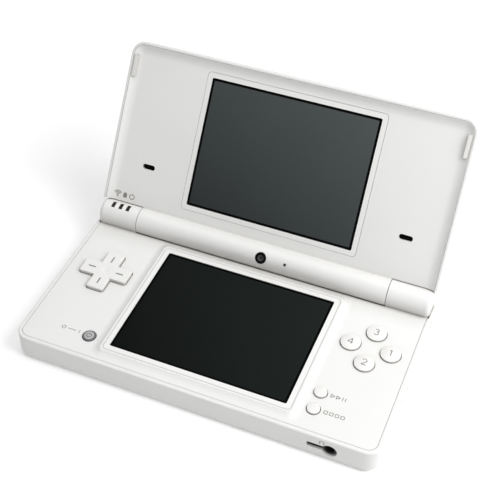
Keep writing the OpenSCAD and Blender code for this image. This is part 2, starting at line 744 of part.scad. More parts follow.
module charging_socket() color(dark) {
    difference() {
        translate([charge_x - charge_w / 2 - 0.6, in_y - 6, charge_z - charge_h / 2 - 0.5])
            cube([charge_w + 1.2, 5.9, charge_h + 1]);
        translate([charge_x - charge_w / 2 + 0.2, in_y - 5, charge_z - charge_h / 2 + 0.1])
            cube([charge_w - 0.4, 8, charge_h - 0.2]);
    }
    // tongue that carries the contacts
    translate([charge_x - charge_w / 2 + 1.6, in_y - 5.1, charge_z - 0.35])
        cube([charge_w - 3.2, 4.2, 0.7]);
}

module stylus_sleeve() color(softgrey) {
    x0 = side_x - stylus_l - sleeve_end;
    translate([0, stylus_y, stylus_z]) difference() {
        rod(sleeve_r, x0, in_x - 0.1);
        rod(stylus_r + 0.1, x0 + 0.8, in_x + 1);
    }
    for (x = [x0 + 12, in_x - 16]) translate([x, stylus_y - 1, floor_t + 0.02]) difference() {
        cube([2, 2, stylus_z - floor_t - 1]);
        translate([-1, 1, stylus_z - floor_t - 0.02]) rod(sleeve_r - 0.1, 0, 4);
    }
}

module stylus() color(trim) {
    nib = 5;
    x1 = side_x - 0.05;
    x0 = x1 - stylus_l + 1.6;
    translate([0, stylus_y, stylus_z]) {
        rod(stylus_r, x0 + nib, x1 - 0.5);
        rod(stylus_r - 0.5, x1 - 0.6, x1);
        translate([x0, 0, 0]) rotate([0, 90, 0]) cylinder(r1 = 0.6, r2 = stylus_r - 0.4, h = nib);
        translate([x0, 0, 0]) sphere(0.6);
    }
}

module dpad() color(trim) {
    mark = [3, 0.5, 0.3];
    top = base_h + dpad_rise;
    h = top - dpad_low_z;
    translate([dpad_at[0], dpad_at[1], 0]) difference() {
        union() {
            translate([0, 0, dpad_low_z]) cylinder(r = dpad_flange_r, h = dpad_top_z - dpad_low_z);
            for (a = [0, 90]) rotate([0, 0, a]) translate([0, 0, dpad_low_z])
                round_box(dpad_span, dpad_arm, h, 0.8) edge_profile(0.8, h, 0.1, 0.35);
        }
        translate([0, 0, top + dimple_r - dimple_h]) sphere(dimple_r, $fn = 96);
        for (a = [0, 90, 180, 270]) rotate([0, 0, a])
            translate([dpad_span / 2 - 5.4, -mark[1] / 2, top - mark[2]]) cube([mark[0], mark[1], 1]);
        translate([0, 0, dpad_low_z - 1]) cylinder(r = 1.35, h = 2.1);
    }
}

// Rocking nub between the direction pad and the board
module dpad_pivot() color(softgrey) {
    nub_z = board_top + 0.4;
    translate([dpad_at[0], dpad_at[1], 0]) {
        translate([0, 0, nub_z]) cylinder(r1 = 0.5, r2 = 1, h = dpad_low_z - nub_z);
        translate([0, 0, dpad_low_z - eps]) cylinder(r = 1, h = 1);
    }
}

module dpad_membrane() color(softgrey) {
    translate([dpad_at[0], dpad_at[1], board_top]) cylinder(r = dpad_span / 2, h = 0.3);
}

module face_button(i) color(trim) {
    p = face_dirs[i];
    translate([face_at[0] + p[0] * face_spread, face_at[1] + p[1] * face_spread, 0])
        push_cap(face_d, face_flange_r, face_base_z, deck_under - 0.08 - face_base_z, base_h + face_rise);
}

module button_right() face_button(0);
module button_bottom() face_button(1);
module button_top() face_button(2);
module button_left() face_button(3);

module button_membrane() color(softgrey) {
    pad = face_spread * 2 + face_d;
    translate([face_at[0], face_at[1], board_top]) {
        rotate([0, 0, 45]) block(pad * 0.72, pad * 0.72, 0.2, 3);
        for (p = face_dirs) translate([p[0] * face_spread, p[1] * face_spread, 0])
            cylinder(r = face_d / 2 - 0.6, h = 0.5);
    }
}

module small_button(p, d, rise) {
    translate([p[0], p[1], 0])
        push_cap(d, d / 2 + small_flange, small_base_z, deck_under - 0.08 - small_base_z, base_h + rise);
}

module start_button() color(trim) small_button(start_at, small_d, small_rise);
module select_button() color(trim) small_button(select_at, small_d, small_rise);

module small_button_membrane() color(softgrey) {
    mid = [start_at[0], (start_at[1] + select_at[1]) / 2];
    h = small_base_z - small_travel - 0.08 - board_top;
    translate([mid[0], mid[1], board_top])
        block(small_d + 1.4, abs(start_at[1] - select_at[1]) + small_d + 1.2, h, 1);
}

module power_button() color("#A9ABAB") small_button(power_at, power_d, power_rise);

module power_switch() color(steel) {
    h = small_base_z - small_travel - 0.08 - board_top;
    translate([power_at[0], power_at[1], board_top + h / 2]) cube([4, 4, h], center = true);
}

// Curved corner shell of a shoulder button, on its own pivot lug
module shoulder(m) {
    mirror([m, 0, 0]) {
        difference() {
            intersection() {
                base_shape();
                shoulder_zone(0, 0);
            }
            block(2 * (side_x - shoulder_t), 2 * (back_y - shoulder_t), 20, corner_r - shoulder_t, -1);
        }
        difference() {
            translate([shoulder_pin[0], shoulder_pin[1], shoulder_z]) {
                cylinder(r = 2, h = shoulder_lug_h);
                translate([-2, 0, 0]) cube([4, back_y - shoulder_t - shoulder_pin[1] + 0.2, shoulder_lug_h]);
            }
            translate([shoulder_pin[0], shoulder_pin[1], 0]) cylinder(r = shoulder_pin_r + pin_gap, h = 20);
        }
    }
}

module shoulder_left() color(trim) shoulder(1);
module shoulder_right() color(trim) shoulder(0);

module shoulder_springs() color(steel) {
    for (m = [0, 1]) mirror([m, 0, 0])
        translate([shoulder_pin[0], shoulder_pin[1], floor_t + 0.05]) difference() {
            cylinder(r = shoulder_pin_r + 0.6, h = shoulder_z - floor_t - 0.15);
            translate([0, 0, -1]) cylinder(r = shoulder_pin_r + 0.08, h = far);
        }
}

module shoulder_switches() color(dark) {
    body = [5, 3.6, 4.2];
    for (m = [0, 1]) mirror([m, 0, 0])
        translate([side_x - 7 - body[0], back_y - shoulder_t - shoulder_swing - body[1] - 0.2, floor_t])
            cube(body);
}

module volume_rocker() color(trim) {
    x0 = -side_x - 0.35;
    x1 = volume_pin[0];
    difference() {
        union() {
            translate([x0, volume_y, volume_z]) rotate([0, 90, 0]) linear_extrude(wall + 0.2)
                plan(volume_h, volume_l, 0.6);
            translate([x0 + 1, volume_y - 1.4, volume_z - volume_h / 2]) cube([x1 - x0 - 1, 2.8, volume_h]);
            translate([x1, volume_y, volume_z - volume_h / 2]) cylinder(r = 1.4, h = volume_h);
        }
        translate([x1, volume_y, 0]) cylinder(r = volume_pin_r + pin_gap, h = far);
        // notch for the finger in the middle
        translate([x0 - 0.75, volume_y, volume_z - volume_h]) cylinder(r = 1, h = 2 * volume_h);
    }
}

module volume_switch() color(dark) {
    z0 = volume_z - volume_h / 2;
    translate([volume_pin[0] + 2, volume_y - 4.5, z0]) cube([1.1, 9, board_z - 0.1 - z0]);
}

module wireless_board() color(greenboard) {
    translate([jack_x - 28, front_y + 8.5, floor_t + 0.02]) {
        cube(radio_board);
        translate([3, 2, radio_board[2] - eps]) cube(radio_can);
    }
}

module hinge_clutch() color(steel) {
    on_axis() {
        rod(barrel_r - barrel_wall - 0.03, base_barrel_x + 1.6, base_barrel_x + 11);
        rod(pin_r, lid_barrel_x - 4.5, base_barrel_x + 2);
    }
}

module hinge_pin() color(steel) {
    on_axis() difference() {
        rod(pin_r, -base_barrel_x - 3.6, -lid_barrel_x + 4.5);
        rod(pin_r - 0.6, -base_barrel_x - 5, -lid_barrel_x + 6);
    }
}

// The display's flexible circuit, rolled up where it runs through the hollow pin
module display_ribbon() color("#C48A3A") {
    on_axis() rod(pin_r - 0.9, ribbon_x - 0.7, -lid_barrel_x + 8);
    translate([ribbon_x - 0.7, hinge_y - 1.3, ribbon_z]) cube([1.4, 2.6, hinge_z - ribbon_z]);
}

module lid_shape() {
    h = closed_h - rim_z;
    intersection() {
        translate([0, lid_front + (lid_l + 20) / 2, rim_z])
            round_box(lid_w, lid_l + 20, h, lid_r) edge_profile(lid_r, h, 0.5, lid_edge_r);
        translate([-lid_w, lid_front - 5, 0]) cube([2 * lid_w, lid_l + 5, 40]);
    }
}

module lid_cavity(x, r, z0, z1) {
    translate([-x, lid_front + lid_wall + r, z0]) cube([2 * x, lid_l - lid_wall - r - lid_wall, z1 - z0]);
    translate([-x + r, lid_front + lid_wall, z0]) cube([2 * x - 2 * r, lid_l - 2 * lid_wall, z1 - z0]);
    for (s = [-1, 1]) translate([s * (x - r), lid_front + lid_wall + r, z0]) cylinder(r = r, h = z1 - z0);
}

module lid_outer_cover() color(casing) {
    neck_y = hinge_y - 2.4;
    lid_open() difference() {
        union() {
            difference() {
                lid_shape();
                lid_cavity(lid_in_x, lid_in_r, rim_z - 1, lid_top_in);
                translate([-lid_barrel_x - seam, lid_back - lid_wall - 1, 0])
                    cube([2 * (lid_barrel_x + seam), 10, lid_top_in]);
                translate([-lid_in_x, lid_back - lid_wall - 1, 0])
                    cube([2 * lid_in_x, 10, face_z + lid_plate + seam]);
            }
            // neck that reaches back over the middle barrel
            translate([-lid_barrel_x, lid_back - 1, lid_top_in])
                cube([2 * lid_barrel_x, neck_y - lid_back + 1, lid_wall]);
            for (s = [-1, 1]) translate([s * bump_x, bump_y, face_z + lid_plate + 0.05])
                cylinder(r = 1.5, h = lid_top_in - face_z - lid_plate);
        }
        on_axis() rod(barrel_r + seam, -lid_barrel_x - 1, lid_barrel_x + 1);
        translate([outer_cam[0], outer_cam[1], lid_top_in - 1]) cylinder(r = 3.1, h = 5);
        for (s = [-1, 1]) translate([s * bump_x, bump_y, 0])
            cylinder(r = 0.52, h = bump_deep_z + lid_screw_l + 0.2);
    }
}

// The hollow in front of the inner face: it narrows from the rim to the face by a scooped slope
module lid_dish(x, y0) {
    steps = 12;
    r = dish_r + rim_slope;
    d = lid_l + far;
    translate([0, y0 + rim_flat + d / 2, rim_z - eps]) round_box(2 * (x - rim_flat), d, dish + eps, r)
        polygon([[0, 0], [0, dish + eps], for (i = [0:steps])
            [dish_r + rim_slope * i / steps, dish * (1 - pow(i / steps, 2)) + eps * (1 - i / steps)]]);
}

module lid_inner_cover() color(casing) {
    x = lid_in_x - seam;
    r = lid_in_r - seam;
    y0 = lid_front + lid_wall + seam;
    d = lid_l + far;
    lid_open() difference() {
        union() {
            difference() {
                intersection() {
                    translate([0, y0 + d / 2, 0]) block(2 * x, d, dish + lid_plate, r, rim_z);
                    translate([-lid_w, y0 - 1, 0]) cube([2 * lid_w, lid_back - y0 + 1, far]);
                }
                lid_dish(x, y0);
            }
            // neck and middle barrel
            translate([-lid_barrel_x, lid_back - 1, face_z])
                cube([2 * lid_barrel_x, hinge_y - lid_back, lid_plate]);
            on_axis() rod(barrel_r, -lid_barrel_x, lid_barrel_x);
            for (s = [-1, 1]) translate([s * speaker_x, speaker_y, face_z + lid_plate - eps]) difference() {
                cylinder(r = speaker_r + 1, h = 1.6);
                translate([0, 0, -1]) cylinder(r = speaker_r + 0.1, h = 4);
            }
        }
        on_axis() rod(barrel_r - barrel_wall, -lid_barrel_x + 5, lid_barrel_x - 5);
        on_axis() rod(pin_r + pin_gap, -lid_barrel_x - 1, lid_barrel_x + 1);
        translate([camera_x, hinge_y, hinge_z - barrel_r - 1]) cylinder(r = camera_r + 0.05, h = 4);
        translate([camera_x + mic_step, hinge_y, hinge_z - barrel_r - 1]) cylinder(r = mic_r, h = 4);
        translate([0, upper_y, 0]) {
            block(frame_w, frame_h, lens_t + 1, 1.5, face_z - 1);
            block(lcd_w + 0.2, lcd_h + 0.2, 10, 1, face_z - 0.5);
        }
        for (s = [-1, 1]) {
            translate([s * speaker_x, speaker_y, face_z - 1]) pill(speaker_slot[0], speaker_slot[1], 5);
            translate([s * bump_x, bump_y, rim_z - 1]) linear_extrude(bump_deep_z - rim_z + 1.03)
                plan(bump[0] + 0.1, bump[1] + 0.1, 0.3);
            translate([s * bump_x, bump_y, 0]) cylinder(r = 0.6, h = 30);
            translate([s * bump_x, bump_y, 0]) cylinder(r = 0.85, h = bump_deep_z + 0.73);
        }
    }
}

module upper_lens() color(trim) {
    lid_open() translate([0, upper_y, 0])
        block(frame_w - 2 * seam, frame_h - 2 * seam, lens_t, 1.5 - seam, face_z);
}

module upper_display() color("#2A2D2D") {
    lid_open() translate([0, upper_y, 0]) block(lcd_w, lcd_h, lcd_t, 0.8, face_z + lens_t + 0.03);
}

module speaker(s) {
    z = face_z + lid_plate + 0.05;
    lid_open() translate([s * speaker_x, speaker_y, z]) {
        cylinder(r = speaker_r, h = 2.2);
        translate([0, 0, 2.2 - eps]) cylinder(r = speaker_r - 2, h = 1.1);
    }
}

module speaker_left() color(dark) speaker(-1);
module speaker_right() color(dark) speaker(1);

module inner_camera_lens() color(dark) {
    lid_open() translate([camera_x, hinge_y, hinge_z - barrel_r + 0.15]) difference() {
        cylinder(r = camera_r, h = 1.9);
        translate([0, 0, -1.6]) sphere(2);
    }
}

module inner_camera_module() color("#3A3C3D") {
    lid_open() translate([camera_x - 3, hinge_y - 2, hinge_z - barrel_r + 2.08]) cube([6, 4, 4]);
}

module outer_camera_lens() color(dark) {
    lid_open() translate([outer_cam[0], outer_cam[1], closed_h - 1]) cylinder(r = 3.05, h = 0.85);
}

module outer_camera_module() color("#3A3C3D") {
    lid_open() {
        translate([outer_cam[0] - 3.5, outer_cam[1] - 3.5, face_z + lid_plate + 0.05]) cube([7, 7, 3.2]);
        translate([outer_cam[0], outer_cam[1], face_z + lid_plate + 3]) cylinder(r = 2.4, h = 0.9);
    }
}

module microphone() color(steel) {
    lid_open() translate([camera_x + mic_step, hinge_y, hinge_z - barrel_r + barrel_wall + 0.45])
        cylinder(r = 1.9, h = 1.5);
}

module lid_bumpers() color("#D9D8D5") {
    lid_open() for (s = [-1, 1]) translate([s * bump_x, bump_y, rim_z - bump_out]) linear_extrude(bump[2])
        plan(bump[0], bump[1], 0.3);
}

module lid_screws() color(steel) {
    lid_open() for (s = [-1, 1]) translate([s * bump_x, bump_y, bump_deep_z + 0.08])
        screw(0.8, 0.6, 0.5, lid_screw_l);
}

module lid_magnet() color(steel) {
    lid_open() translate([-lid_in_x + 5, lid_front + lid_wall + 6, face_z + lid_plate]) cube([4, 3, 2]);
}

lower_case();
base_top_cover();
touch_frame();
touch_panel();
lower_display();
main_board();
battery_pack();
battery_cover();
battery_cover_screws();
case_screws();
led_light_guide();
game_card_socket();
memory_card_socket();
memory_card_door();
headphone_socket();
charging_socket();
stylus_sleeve();
stylus();
dpad();
dpad_pivot();
dpad_membrane();
button_right();
button_bottom();
button_top();
button_left();
button_membrane();
start_button();
select_button();
small_button_membrane();
power_button();
power_switch();
shoulder_left();
shoulder_right();
shoulder_springs();
shoulder_switches();
volume_rocker();
volume_switch();
wireless_board();
hinge_clutch();
hinge_pin();
display_ribbon();
lid_outer_cover();
lid_inner_cover();
upper_lens();
upper_display();
speaker_left();
speaker_right();
inner_camera_lens();
inner_camera_module();
outer_camera_lens();
outer_camera_module();
microphone();
lid_bumpers();
lid_screws();
lid_magnet();
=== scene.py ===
import math

import bpy
from mathutils import Matrix, Vector


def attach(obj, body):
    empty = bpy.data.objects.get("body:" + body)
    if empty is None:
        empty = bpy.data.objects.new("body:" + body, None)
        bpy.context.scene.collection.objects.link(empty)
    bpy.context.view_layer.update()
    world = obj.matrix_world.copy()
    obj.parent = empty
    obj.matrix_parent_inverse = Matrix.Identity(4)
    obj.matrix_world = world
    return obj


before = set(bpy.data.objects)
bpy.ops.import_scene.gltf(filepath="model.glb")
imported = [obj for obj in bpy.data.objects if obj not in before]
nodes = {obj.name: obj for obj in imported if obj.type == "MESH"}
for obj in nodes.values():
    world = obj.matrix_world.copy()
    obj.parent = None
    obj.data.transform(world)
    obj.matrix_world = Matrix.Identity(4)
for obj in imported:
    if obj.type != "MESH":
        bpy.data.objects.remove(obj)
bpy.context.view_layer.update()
mm = 0.001
print("frame loaded:", len(nodes), "nodes")

# the hinge, about which the lid's plans are turned from shut to open
hinge = {"y": 31.9, "z": 13.5, "open": math.radians(124)}
hingeAt = Vector((0, hinge["y"] * mm, hinge["z"] * mm))
lidTurn = (Matrix.Translation(hingeAt)
           @ Matrix.Rotation(-hinge["open"], 4, "X")
           @ Matrix.Translation(-hingeAt))


class Wire:  # a shader socket that takes arithmetic
    def __init__(self, graph, socket):
        self.graph = graph
        self.socket = socket

    def calc(self, operation, *values):
        return self.graph.node("Math", {"operation": operation}, dict(enumerate(values)))

    def __add__(self, other):
        return self.calc("ADD", self, other)

    def __radd__(self, other):
        return self.calc("ADD", other, self)

    def __sub__(self, other):
        return self.calc("SUBTRACT", self, other)

    def __rsub__(self, other):
        return self.calc("SUBTRACT", other, self)

    def __mul__(self, other):
        return self.calc("MULTIPLY", self, other)

    def __rmul__(self, other):
        return self.calc("MULTIPLY", other, self)

    def __pow__(self, other):
        return self.calc("POWER", self, other)

    def __abs__(self):
        return self.calc("ABSOLUTE", self)

    def root(self):
        return self.calc("SQRT", self)

    def top(self, other):
        return self.calc("MAXIMUM", self, other)

    def low(self, other):
        return self.calc("MINIMUM", self, other)

    def fade(self, start, end):  # 0 at start and 1 at end, with soft shoulders
        return self.graph.node("MapRange", {"interpolation_type": "SMOOTHSTEP"},
                               {"Value": self, "From Min": start, "From Max": end})

    def step(self, at, soft):  # 0 below at and 1 above it, over a soft edge
        return self.fade(at - soft, at + soft)


class Graph:  # makes the nodes of one tree
    def __init__(self, tree):
        self.tree = tree

    def put(self, socket, value):
        if isinstance(value, Wire):
            self.tree.links.new(value.socket, socket)
        else:
            socket.default_value = value

    def node(self, kind, settings=None, sockets=None, output=0):
        made = self.tree.nodes.new("ShaderNode" + kind)
        for key, value in (settings or {}).items():
            setattr(made, key, value)
        for key, value in (sockets or {}).items():
            self.put(made.inputs[key], value)
        return Wire(self, made.outputs[output]) if made.outputs else None  # the closing node has none

    def onView(self):  # 1 where the camera looks, straight, in a shine or through glass, and 0 for light
        straight, shine, through = [self.node("LightPath", output=ray)
                                    for ray in ("Is Camera Ray", "Is Glossy Ray", "Is Transmission Ray")]
        return straight.top(shine).top(through)


mixAt = {"mask": 0, "first": 6, "second": 7, "result": 2}  # where a Mix node has its colour sockets
# painted shade where faces meet: how far the occlusion looks, how dark it paints, and the heights in
# millimetres over which it fades in
nookPaintedShade = {"grey": "#A39E97", "reach": 9.0, "depth": 0.75, "samples": 8, "from": 6.0, "to": 11.0}
bevelSamples = 6


class Paint(Graph):  # one material being mixed
    def __init__(self, name, **fixed):
        self.material = bpy.data.materials.new(name)
        self.material.use_nodes = True
        super().__init__(self.material.node_tree)
        self.shader = self.tree.nodes["Principled BSDF"]
        for socket, value in fixed.items():
            self.shader.inputs[socket].default_value = value
        self.place = self.node("TexCoord", output="Object")

    def mix(self, mask, first, second):  # a mask of 0 gives the first colour and 1 the second
        return self.node("Mix", {"data_type": "RGBA"},
                         {mixAt["mask"]: mask, mixAt["first"]: tone(first), mixAt["second"]: tone(second)},
                         mixAt["result"])

    def noise(self, scale, detail=2.0, place=None, rough=0.5):
        return self.node("TexNoise", None, {"Vector": place or self.place, "Scale": scale,
                                            "Detail": detail, "Roughness": rough})

    def millimetres(self, *axes, place=None):
        parts = self.node("SeparateXYZ", None, {0: place or self.place}).socket.node.outputs
        return [Wire(self, parts[axis]) * (1 / mm) for axis in axes]

    def shut(self):  # x and y on a lid part as if the lid were shut, in millimetres
        turn = Matrix.Rotation(hinge["open"], 3, "X")
        turned = self.node("Mapping", {"vector_type": "POINT"},
                           {"Vector": self.place, "Location": hingeAt - turn @ hingeAt,
                            "Rotation": (hinge["open"], 0, 0)})
        return self.millimetres("X", "Y", place=turned)

    def paintNookShade(self, colour):  # painted shade: a faint grey where faces meet, above the foot of the walls
        openness = self.node("AmbientOcclusion", {"samples": nookPaintedShade["samples"]},
                             {"Distance": nookPaintedShade["reach"] * mm}, "AO")
        height = self.millimetres("Z")[0]
        mask = (1.0 - openness) * nookPaintedShade["depth"] * height.fade(nookPaintedShade["from"], nookPaintedShade["to"])
        return self.mix(mask, colour, nookPaintedShade["grey"])

    def finish(self, colour, rough=None, height=None, depth=0.0, edge=0.0):
        self.put(self.shader.inputs["Base Color"], colour)
        if rough is not None:
            self.put(self.shader.inputs["Roughness"], rough)
        normal = None
        if edge:
            normal = self.node("Bevel", {"samples": bevelSamples}, {"Radius": edge * mm})
        if height is not None:
            sockets = {"Strength": 1.0, "Distance": depth * mm, "Height": height}
            if normal:
                sockets["Normal"] = normal
            normal = self.node("Bump", None, sockets)
        if normal:
            self.put(self.shader.inputs["Normal"], normal)
        return self.material


srgb = {"line": 12.92, "knee": 0.04045, "offset": 0.055, "power": 2.4}


def tone(colour):  # a written #rrggbb colour as the linear light that a socket takes; a wire stays itself
    if isinstance(colour, Wire):
        return colour
    parts = [int(colour[at:at + 2], 16) / 255 for at in (1, 3, 5)]
    linear = [c / srgb["line"] if c <= srgb["knee"]
              else ((c + srgb["offset"]) / (1 + srgb["offset"])) ** srgb["power"] for c in parts]
    return (*linear, 1.0)


def boxDistance(u, v, halfU, halfV, corner):  # distance outside a rounded rectangle, in millimetres
    qu = abs(u) - (halfU - corner)
    qv = abs(v) - (halfV - corner)
    outside = (qu.top(0.0) ** 2.0 + qv.top(0.0) ** 2.0).root()
    return outside + qu.top(qv).low(0.0) - corner


def spotDistance(x, y, at):  # distance from a point, in millimetres
    return ((x - at[0]) ** 2.0 + (y - at[1]) ** 2.0).root()


# moulded plastic: a slow drift and clouds of colour, with a fine grain
softBand = (0.3, 0.7)  # the middle of a noise, over which it fades from one colour to the other
plasticGrain = {"drift": 28.0, "cloud": 160.0, "grain": 5200.0, "coarse": 0.6, "driftShare": 0.7,
                "cloudShare": 0.3, "roughGrain": 0.10, "roughMean": 0.05, "roughCloud": 0.06}
plastics = {
    "casingWhite": {"light": "#EEEEED", "dark": "#EBEBE9", "rough": 0.42, "depth": 0.004, "edge": 0.12},
    "keyWhite": {"light": "#EFEFED", "dark": "#ECEBE9", "rough": 0.36, "depth": 0.004, "edge": 0.15},
    "screenBorderWhite": {"light": "#F1F1EF", "dark": "#EEEEEC", "rough": 0.3, "depth": 0.002, "edge": 0.12},
    "bumperRubber": {"light": "#E8E7E4", "dark": "#E3E2DF", "rough": 0.55, "depth": 0.004, "edge": 0.12},
}


def plasticPaint(name):
    look, fine = plastics[name], plasticGrain
    paint = Paint(name)
    drift = paint.noise(fine["drift"])
    grain = paint.noise(fine["grain"], 3.0, rough=fine["coarse"])
    cloud = paint.noise(fine["cloud"], 3.0)
    mask = drift.fade(*softBand) * fine["driftShare"] + cloud * fine["cloudShare"]
    rough = look["rough"] + fine["roughGrain"] * grain - fine["roughMean"] + fine["roughCloud"] * cloud
    # the plastic's colour with painted shade where faces meet
    colour = paint.paintNookShade(paint.mix(mask, look["light"], look["dark"]))
    return paint.finish(colour, rough, grain, look["depth"], look["edge"])


# plain matt finishes, the printing inks among them
mattGrain = {"cloud": 220.0, "grain": 4200.0, "roughGrain": 0.12, "edge": 0.08}
matts = {
    "greyRubber": {"light": "#8C8E8E", "dark": "#7E8080", "rough": 0.55, "depth": 0.006},
    "blackPlastic": {"light": "#1B1C1C", "dark": "#121313", "rough": 0.4, "depth": 0.006},
    "sleeveGrey": {"light": "#9B9D9D", "dark": "#8A8C8C", "rough": 0.45, "depth": 0.006},
    "displayBack": {"light": "#2D3030", "dark": "#222525", "rough": 0.3, "depth": 0.006},
    "batteryWrap": {"light": "#54585C", "dark": "#474B4E", "rough": 0.38, "depth": 0.006},
    "inkGrey": {"light": "#8A8886", "dark": "#7E7C7A", "rough": 0.45, "depth": 0.001},
    "inkDark": {"light": "#58595A", "dark": "#4C4D4E", "rough": 0.45, "depth": 0.001},
    "inkPale": {"light": "#9C9995", "dark": "#8F8C88", "rough": 0.45, "depth": 0.001},
    "inkBrown": {"light": "#9A9288", "dark": "#8C847A", "rough": 0.45, "depth": 0.001},
}


def mattPaint(name):
    look = matts[name]
    paint = Paint(name)
    grain = paint.noise(mattGrain["grain"], 3.0)
    cloud = paint.noise(mattGrain["cloud"])
    colour = paint.mix(cloud.fade(*softBand), look["light"], look["dark"])
    return paint.finish(colour, look["rough"] + mattGrain["roughGrain"] * grain, grain, look["depth"],
                        mattGrain["edge"])


# the direction pad, with painted shade in its four engraved lines
pad = {"x": -51.9, "y": 3.0, "from": 4.3, "to": 7.3, "half": 0.27, "soft": 0.05, "line": "#7C7A77",
       "rough": 0.34, "roughGrain": 0.12}


def padPaint():
    paint = Paint("padWhite")
    x, y = paint.millimetres("X", "Y")
    u, v = abs(x - pad["x"]), abs(y - pad["y"])
    middle, half = (pad["from"] + pad["to"]) / 2, (pad["to"] - pad["from"]) / 2
    across = abs(u - middle).fade(half, half - pad["soft"]) * v.fade(pad["half"], pad["half"] - pad["soft"])
    along = abs(v - middle).fade(half, half - pad["soft"]) * u.fade(pad["half"], pad["half"] - pad["soft"])
    cloud = paint.noise(plasticGrain["cloud"], 3.0)
    grain = paint.noise(plasticGrain["grain"], 3.0, rough=plasticGrain["coarse"])
    look = plastics["keyWhite"]
    # the pad's white with painted shade where faces meet
    white = paint.paintNookShade(paint.mix(cloud, look["light"], look["dark"]))
    # the engraved lines are painted grey, as painted shade in the grooves
    return paint.finish(paint.mix(across.top(along), white, pad["line"]),
                        pad["rough"] + pad["roughGrain"] * grain, grain, look["depth"], look["edge"])


# both screens: a black ring round a dark picture area, with a painted sheen that grows lighter across the
# glass
screen = {"halfW": 33.6, "halfH": 25.1, "ring": 1.0, "ringCorner": 0.3, "windowCorner": 0.6,
          "ringSoft": 0.06, "windowSoft": 0.04, "middle": 0.5, "cloudShare": 0.05, "black": "#000000"}
# the dark colour is the glass's own and the light one is a painted sheen; across, up and down say how far the
# sheen climbs over the glass
touch = {"y": -4.2, "ior": 1.1, "cloud": 60.0, "cells": 9000.0, "across": 0.29, "up": 0.16,
         "dark": "#0A0C0B", "light": "#1F2423", "rough": 0.22, "roughCells": 0.05, "roughCloud": 0.04,
         "depth": 0.0015}
lens = {"y": -4.5, "ior": 1.12, "cloud": 50.0, "cells": 7000.0, "across": 0.21, "down": 0.29,
        "dark": "#313536", "light": "#4F5554", "rough": 0.12, "roughBorder": 0.16, "roughCells": 0.03,
        "depth": 0.001}


def screenRing(x, v):  # 0 on the picture area and 1 on the ring round it
    inside = boxDistance(x, v, screen["halfW"] - screen["ring"], screen["halfH"] - screen["ring"],
                         screen["ringCorner"])
    return inside.step(0.0, screen["ringSoft"])


def touchPaint():
    paint = Paint("touchScreenFilm", IOR=touch["ior"])
    x, y = paint.millimetres("X", "Y")
    v = y - touch["y"]
    cloud = paint.noise(touch["cloud"])
    cells = paint.noise(touch["cells"], 1.0)
    # painted sheen: the picture area grows lighter across the glass, like a reflection
    paintedSheen = (screen["middle"] + x * (touch["across"] / screen["halfW"]) + v * (touch["up"] / screen["halfH"])
             + screen["cloudShare"] * cloud)
    active = paint.mix(paintedSheen, touch["dark"], touch["light"])
    return paint.finish(paint.mix(screenRing(x, v), active, screen["black"]),
                        touch["rough"] + touch["roughCells"] * cells + touch["roughCloud"] * cloud,
                        cells, touch["depth"])


def lensPaint():  # the upper window, with its white border
    paint = Paint("upperWindow", IOR=lens["ior"])
    x, y = paint.shut()
    v = y - lens["y"]
    cloud = paint.noise(lens["cloud"])
    cells = paint.noise(lens["cells"], 1.0)
    # painted sheen: the picture area grows lighter across the glass, like a reflection
    paintedSheen = (screen["middle"] + x * (lens["across"] / screen["halfW"]) - v * (lens["down"] / screen["halfH"])
             + screen["cloudShare"] * cloud)
    active = paint.mix(paintedSheen, lens["dark"], lens["light"])
    dark = paint.mix(screenRing(x, v), active, screen["black"])
    white = plastics["screenBorderWhite"]
    border = paint.mix(cloud, white["light"], white["dark"])
    window = boxDistance(x, v, screen["halfW"], screen["halfH"], screen["windowCorner"])
    mask = window.step(0.0, screen["windowSoft"])
    return paint.finish(paint.mix(mask, dark, border),
                        lens["rough"] + lens["roughBorder"] * mask + lens["roughCells"] * cells,
                        cells, lens["depth"])


powerKey = {"x": -42.7, "y": -27.5, "top": 11.6, "face": 1.75, "soft": 0.15,
            "faceLight": "#BDBEBE", "faceDark": "#B4B5B5", "rimLight": "#6E7071", "rimDark": "#626465",
            "rough": 0.35, "roughGrain": 0.1, "depth": 0.004, "edge": 0.12}


def powerPaint():
    paint = Paint("powerKeyGrey")
    x, y = paint.millimetres("X", "Y")
    radius = spotDistance(x, y, (powerKey["x"], powerKey["y"]))
    grain = paint.noise(plasticGrain["grain"], 3.0)
    face = paint.mix(grain, powerKey["faceLight"], powerKey["faceDark"])
    rim = paint.mix(grain, powerKey["rimLight"], powerKey["rimDark"])
    return paint.finish(paint.mix(radius.step(powerKey["face"], powerKey["soft"]), face, rim),
                        powerKey["rough"] + powerKey["roughGrain"] * grain, grain, powerKey["depth"],
                        powerKey["edge"])


steel = {"streaks": (250, 9000, 9000), "light": "#B9BBBD", "dark": "#8E9194", "rough": 0.28,
         "roughStreak": 0.2, "depth": 0.003, "edge": 0.08}


def steelPaint():
    paint = Paint("brushedSteel", Metallic=1.0)
    stretched = paint.node("Mapping", {"vector_type": "POINT"},
                           {"Vector": paint.place, "Scale": steel["streaks"]})
    streak = paint.noise(1.0, 3.0, stretched)
    return paint.finish(paint.mix(streak, steel["light"], steel["dark"]),
                        steel["rough"] + steel["roughStreak"] * streak, streak, steel["depth"], steel["edge"])


board = {"cells": 420.0, "track": 0.02, "fine": 900.0, "share": 0.5, "cellDark": "#1F5C40",
         "cellLight": "#2A6D4C", "trackGold": "#B98C3A", "dark": "#1D5A3E", "light": "#2A6B4A",
         "rough": 0.34, "roughFine": 0.15, "depth": 0.02}


